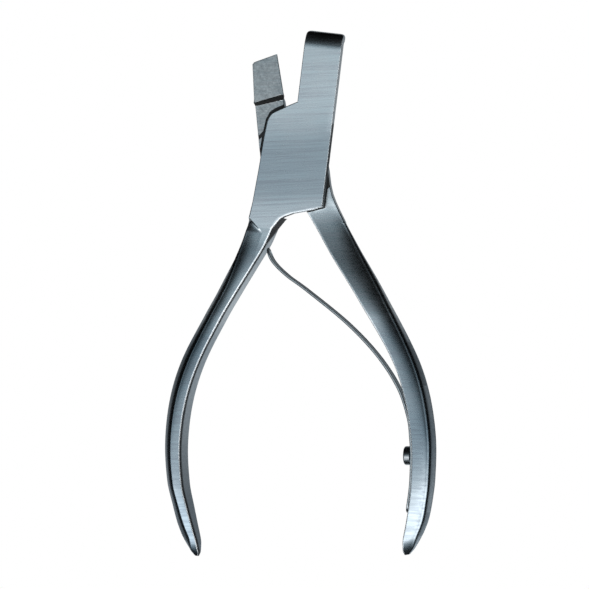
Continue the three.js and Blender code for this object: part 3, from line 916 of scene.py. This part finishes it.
def handled_group():
    """Soft clouding from handling, the odd fine scratch and a coarse mottle: three masks."""
    group, n = new_group(
        "handled",
        [("Position", "NodeSocketVector", None)],
        [("Cloud", "NodeSocketFloat"), ("Scratch", "NodeSocketFloat"), ("Mottle", "NodeSocketFloat")])
    start, end = n.add("NodeGroupInput"), n.add("NodeGroupOutput")
    where = start.outputs["Position"]
    cloud = n.spread(n.noise(where, 160, 4, 0.55), 0.35, 0.7)
    warped = n.mapped(where, (60, 700, 60), (0.2, 0.1, 0.5))
    thin = n.math("ABSOLUTE", n.math("SUBTRACT", n.noise(warped, 1.0, 0, 0.4), 0.5))
    patch = n.spread(n.noise(where, 190, 2), 0.6, 0.72)
    scratch = n.math("MULTIPLY", n.spread(thin, 0.0, 0.005, 1.0, 0.0), patch)
    n.feed(end.inputs["Cloud"], cloud)
    n.feed(end.inputs["Scratch"], scratch)
    n.feed(end.inputs["Mottle"], n.spread(n.noise(where, 1500, 5, 0.75), 0.35, 0.65))
    return group


def ramp_of(n, value, stops):
    """A smooth ramp of grey levels."""
    node = n.tree.nodes.new("ShaderNodeFloatCurve")
    curve = node.mapping.curves[0]
    curve.points[0].location = stops[0]
    curve.points[1].location = stops[-1]
    for stop in stops[1:-1]:
        curve.points.new(*stop)
    for point in curve.points:
        point.handle_type = "AUTO_CLAMPED"
    node.mapping.update()
    n.feed(node.inputs["Value"], value)
    return node.outputs[0]


BRUSHED = brushed_group()
HANDLED = handled_group()


def grouped(n, tree, **sockets):
    """A group placed in a material. Gives its outputs."""
    node = n.tree.nodes.new("ShaderNodeGroup")
    node.node_tree = tree
    for key, value in sockets.items():
        n.feed(node.inputs[key], value)
    return node.outputs


# Colour of the painted shade and shadow in the step, the seat, under the ridges and on the plate's wall.
PAINTED_SHADE_COLOUR = (0.003, 0.004, 0.004)
# Pale paint on the inner rounded edges: wear and a painted highlight.
WORN_EDGE_SHEEN = (0.93, 0.96, 0.97)
MOTTLE_DARK = (0.3, 0.31, 0.31)
MOTTLE_PALE = (0.66, 0.68, 0.67)
MOTTLE_SHARE = 0.8
LINE_STRENGTH = 0.35        # of the grinding lines' bump
LINE_DEPTH = 0.000012       # and their depth in metres


def steel(name, cool, pale, sheen, rough, contrast=0.3, fineness=1.0, turn=0.0):
    """Stainless steel, ground with fine lines that run along X once turned. Its tint goes from cool to
    pale along the tool by the sheen curve's points (height along Y in millimetres, share), a painted
    reflection in lighter and darker bands where the curve varies."""
    material = bpy.data.materials.new(name)
    material.use_nodes = True
    n = Nodes(material.node_tree)
    shader = material.node_tree.nodes["Principled BSDF"]
    where = n.add("ShaderNodeTexCoord").outputs["Object"]
    brushed = grouped(n, BRUSHED, Position=n.mapped(where, turn=(0, 0, turn)), Fineness=fineness)
    handled = grouped(n, HANDLED, Position=where)
    low, high = sheen[0][0], sheen[-1][0]
    parts = n.add("ShaderNodeSeparateXYZ")
    n.feed(parts.inputs[0], where)
    stops = [((y - low) / (high - low), value) for y, value in sheen]
    # painted reflection: lighter and darker bands along the tool by height
    sheen_share = ramp_of(n, n.spread(parts.outputs["Y"], low * MM, high * MM), stops)
    tinted = n.mix(sheen_share, (*cool, 1), (*pale, 1))
    deeper = n.mix(1.0, tinted, (1 - contrast, 1 - contrast, 1 - 0.9 * contrast, 1), "MULTIPLY")
    brushed_tint = n.mix(n.spread(brushed["Tone"], 0.33, 0.6), deeper, tinted)
    clouded_tint = n.mix(n.math("MULTIPLY", handled["Cloud"], 0.25), brushed_tint, deeper)
    worn_sheen = n.add("ShaderNodeAttribute", attribute_name="worn_sheen").outputs["Fac"]
    painted = n.add("ShaderNodeAttribute", attribute_name="dark").outputs["Fac"]
    # wear and painted highlight on the inner edges
    edged = n.mix(worn_sheen, clouded_tint, (*WORN_EDGE_SHEEN, 1))
    coarse = n.add("ShaderNodeAttribute", attribute_name="coarse").outputs["Fac"]
    mottle = n.mix(handled["Mottle"], (*MOTTLE_DARK, 1), (*MOTTLE_PALE, 1))
    coarsened = n.mix(n.math("MULTIPLY", coarse, MOTTLE_SHARE), edged, mottle)
    # Painted shade: where the dark attribute is set, the steel turns black, stops being metal and grows
    # rough.
    n.feed(shader.inputs["Base Color"], n.mix(painted, coarsened, (*PAINTED_SHADE_COLOUR, 1)))
    n.feed(shader.inputs["Metallic"], n.math("SUBTRACT", 1.0, painted))
    base = n.spread(brushed["Tone"], 0.3, 0.7, rough + 0.05, rough - 0.04)
    clouded = n.math("MULTIPLY_ADD", handled["Cloud"], 0.04, n.math("MULTIPLY_ADD", worn_sheen, 0.3, base))
    scuffed = n.math("MULTIPLY_ADD", handled["Scratch"], 0.12, clouded)
    n.feed(shader.inputs["Roughness"], n.math("MULTIPLY_ADD", painted, 0.5, scuffed))
    bump = n.add("ShaderNodeBump")
    bump.inputs["Strength"].default_value = LINE_STRENGTH
    bump.inputs["Distance"].default_value = LINE_DEPTH
    n.feed(bump.inputs["Height"], n.math("MULTIPLY_ADD", handled["Scratch"], -0.6, brushed["Height"]))
    n.feed(shader.inputs["Normal"], bump.outputs[0])
    return material


# ---- pieces ----

# How each lever's painted reflection runs along its length, in lighter and darker bands: height along Y,
# share from cool to pale.
PLATE_SHEEN = [
    (-104.0, 0.0), (-94.0, 0.0), (-86.0, 0.17), (-76.0, 0.25), (-64.5, 0.29), (-51.0, 0.15),
    (-38.0, 0.75), (-24.5, 0.45), (-19.7, 0.8), (-12.0, 0.6), (-7.0, 0.33), (-3.0, 0.33),
    (9.0, 0.72), (20.0, 1.0), (35.0, 1.0),
]
HANDLE_SHEEN = [
    (-104.0, 0.25), (-86.0, 0.2), (-76.0, 0.08), (-64.5, 0.28), (-51.0, 0.35), (-38.0, 0.95),
    (-16.5, 1.0), (0.0, 0.4), (12.0, 0.3), (28.0, 0.32),
]
EVEN_TINT = [(-110.0, 0.3), (0.0, 0.3), (30.0, 0.3)]
COOL = (0.3, 0.38, 0.43)
PALE = (0.91, 0.97, 0.98)
SPRING_COOL = (0.4, 0.45, 0.47)
SPRING_PALE = (0.66, 0.72, 0.73)
SCREW_COOL = (0.3, 0.33, 0.34)
SCREW_PALE = (0.5, 0.54, 0.55)

front = front_lever()
front.data.materials.clear()
front.data.materials.append(steel("front_lever_steel", COOL, PALE, PLATE_SHEEN, 0.24, turn=-0.02))
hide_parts("front_lever")
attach(front, "front")

back = back_lever()
back.data.materials.clear()
back.data.materials.append(steel("back_lever_steel", COOL, PALE, HANDLE_SHEEN, 0.25, turn=0.05))
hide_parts("back_lever")
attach(back, "back")

rivet = pivot_rivet()
rivet.data.materials.append(steel("pivot_rivet_steel", COOL, PALE, PLATE_SHEEN, 0.24, turn=-0.02))
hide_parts("pivot_rivet")
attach(rivet, "back")

leaf, leaf_start, leaf_end = leaf_spring()
leaf_steel = steel("leaf_spring_steel", SPRING_COOL, SPRING_PALE, EVEN_TINT, 0.3, turn=0.9)
leaf.data.materials.append(leaf_steel)
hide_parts("leaf_spring")
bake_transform(leaf)

screw = spring_screw()
screw.data.materials.clear()
screw_steel = steel("spring_screw_steel", SCREW_COOL, SCREW_PALE, EVEN_TINT, 0.3, fineness=1.6)
screw.data.materials.append(screw_steel)
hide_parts("spring_screw")
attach(screw, "back")


# ---- stage ----

FLOOR_REACH = 3.0       # in metres, as all of the stage's sizes
FLOOR_BELOW = 0.12
SHADE_BLUE = (0.55, 0.83, 1.0)
LIGHT_WHITE = (1, 0.99, 1)
MAIN_LIGHT = 2.6
FLOOR_LIGHT = 0.27
VIEW_LEAN = math.radians(14)
VIEW_TURN = math.radians(-1.2)
VIEW_AWAY = 1.0
VIEW_WIDE = 0.1571
VIEW_MIDDLE = (-0.27, -36.4, LAP)       # in millimetres


def pale_floor():
    """A pale sheet well below the tool. It shows white and isn't mirrored in the steel."""
    bm = bmesh.new()
    bmesh.ops.create_grid(bm, x_segments=1, y_segments=1, size=FLOOR_REACH)
    bmesh.ops.translate(bm, vec=(0, 0, -FLOOR_BELOW), verts=bm.verts)
    floor = finished("floor", bm)
    material = bpy.data.materials.new("pale_floor")
    material.use_nodes = True
    n = Nodes(material.node_tree)
    nodes = material.node_tree.nodes
    nodes.remove(nodes["Principled BSDF"])
    glow = n.add("ShaderNodeEmission")
    seen = n.add("ShaderNodeLightPath").outputs["Is Camera Ray"]
    n.feed(glow.inputs["Strength"], seen)
    glow.inputs["Color"].default_value = (1, 1, 1, 1)
    n.feed(nodes["Material Output"].inputs["Surface"], glow.outputs[0])
    floor.data.materials.append(material)
    floor.visible_glossy = False
    floor.visible_diffuse = False


def studio_light():
    """Soft light from above, brightest towards the handles and dark past the jaws, with a weaker
    light from below."""
    world = bpy.data.worlds.new("studio")
    bpy.context.scene.world = world
    world.use_nodes = True
    n = Nodes(world.node_tree)
    glow = world.node_tree.nodes["Background"]
    facing = n.add("ShaderNodeTexCoord").outputs["Generated"]
    parts = n.add("ShaderNodeSeparateXYZ")
    n.feed(parts.inputs[0], facing)
    hand = n.math("MULTIPLY", parts.outputs["Y"], -1)
    level = ramp_of(n, n.spread(hand, -1, 1), [
        (0.0, 0.0), (0.3, 0.005), (0.4, 0.06), (0.5, 0.27), (0.57, 0.47), (0.67, 0.95), (0.78, 0.9),
        (0.85, 0.35), (0.91, 0.04), (1.0, 0.0)])
    lifted = n.math("MULTIPLY_ADD", n.math("MAXIMUM", hand, 0.0), 0.6, parts.outputs["Z"])
    height = ramp_of(n, n.spread(lifted, 0, 1), [
        (0.0, 0.0), (0.3, 0.01), (0.55, 0.12), (0.75, 0.6), (0.92, 1.0), (1.0, 1.0)])
    above = n.math("MULTIPLY", n.math("MULTIPLY", level, height), MAIN_LIGHT)
    below = n.spread(parts.outputs["Z"], -0.48, -0.74, 0.0, FLOOR_LIGHT)
    below = n.math("MULTIPLY", below, n.math("MULTIPLY_ADD", n.math("MAXIMUM", hand, 0.0), 4.0, 1.0))
    light = n.math("ADD", above, below)
    seen = n.add("ShaderNodeLightPath").outputs["Is Camera Ray"]
    n.feed(glow.inputs["Strength"], n.math("MAXIMUM", light, seen))
    from_floor = n.spread(parts.outputs["Z"], -0.3, -0.5, 0.0, 0.75)
    whiter = n.math("MAXIMUM", n.spread(light, 0.15, 1.3), from_floor)
    n.feed(glow.inputs["Color"], n.mix(whiter, (*SHADE_BLUE, 1), (*LIGHT_WHITE, 1)))


def camera():
    """Looks down on the tool from a little to its right, slightly turned."""
    turn = Matrix.Rotation(VIEW_TURN, 3, "Z")
    right = turn @ Vector((math.cos(VIEW_LEAN), 0, -math.sin(VIEW_LEAN)))
    up = turn @ Vector((0, 1, 0))
    back = turn @ Vector((math.sin(VIEW_LEAN), 0, math.cos(VIEW_LEAN)))
    data = bpy.data.cameras.new("camera")
    data.lens = data.sensor_width * VIEW_AWAY / VIEW_WIDE
    obj = bpy.data.objects.new("camera", data)
    bpy.context.scene.collection.objects.link(obj)
    matrix = Matrix((right, up, back)).transposed().to_4x4()
    matrix.translation = Vector(VIEW_MIDDLE) * MM + back * VIEW_AWAY
    obj.matrix_world = matrix
    bpy.context.scene.camera = obj


pale_floor()
studio_light()
camera()
bpy.context.scene.view_settings.view_transform = "Standard"
